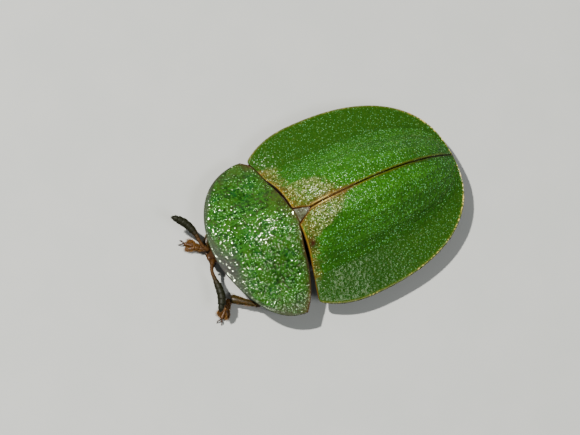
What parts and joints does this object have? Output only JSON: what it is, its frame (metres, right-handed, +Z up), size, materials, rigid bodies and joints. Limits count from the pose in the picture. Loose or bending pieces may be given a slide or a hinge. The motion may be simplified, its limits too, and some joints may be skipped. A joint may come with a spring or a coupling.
{
  "type": "tortoise beetle",
  "caption": "Life-size green tortoise beetle, standing, with a domed oval shell, a broad neck shield and short clubbed antennae.",
  "frame": {"origin": "middle of the model's box on the ground under it, where the soles stand", "axes": "the head points along -Y, the animal's left side is +X, +Z is up"},
  "size_m": [0.0056, 0.0088, 0.0028],
  "materials": {
    "green_shell": "smooth waxy green cuticle with fine pits, paler at the base",
    "grey_green_shield": "finely wrinkled grey-green cuticle with a silvery gloss",
    "scutellum_plate": "pale pinkish-brown cuticle",
    "dark_underside": "shiny dark brown to black cuticle",
    "brown_cuticle": "brown cuticle with fine hairs",
    "eye": "black faceted eye, glossy",
    "feeler": "orange-brown at the base, dark and downy in the club",
    "orange_leg": "orange-brown cuticle with short bristles"
  },
  "bodies": {
    "root": {"elytron_left": "green_shell", "elytron_right": "green_shell", "pronotum": "grey_green_shield", "scutellum": "scutellum_plate", "prothorax": "dark_underside", "metathorax": "dark_underside", "abdomen": "dark_underside", "head": "brown_cuticle", "eye_left": "eye", "eye_right": "eye", "antenna_left": "feeler", "antenna_right": "feeler", "leg_front_left": "orange_leg", "leg_front_right": "orange_leg", "leg_middle_left": "orange_leg", "leg_middle_right": "orange_leg", "leg_hind_left": "orange_leg", "leg_hind_right": "orange_leg"}
  },
  "joints": []
}
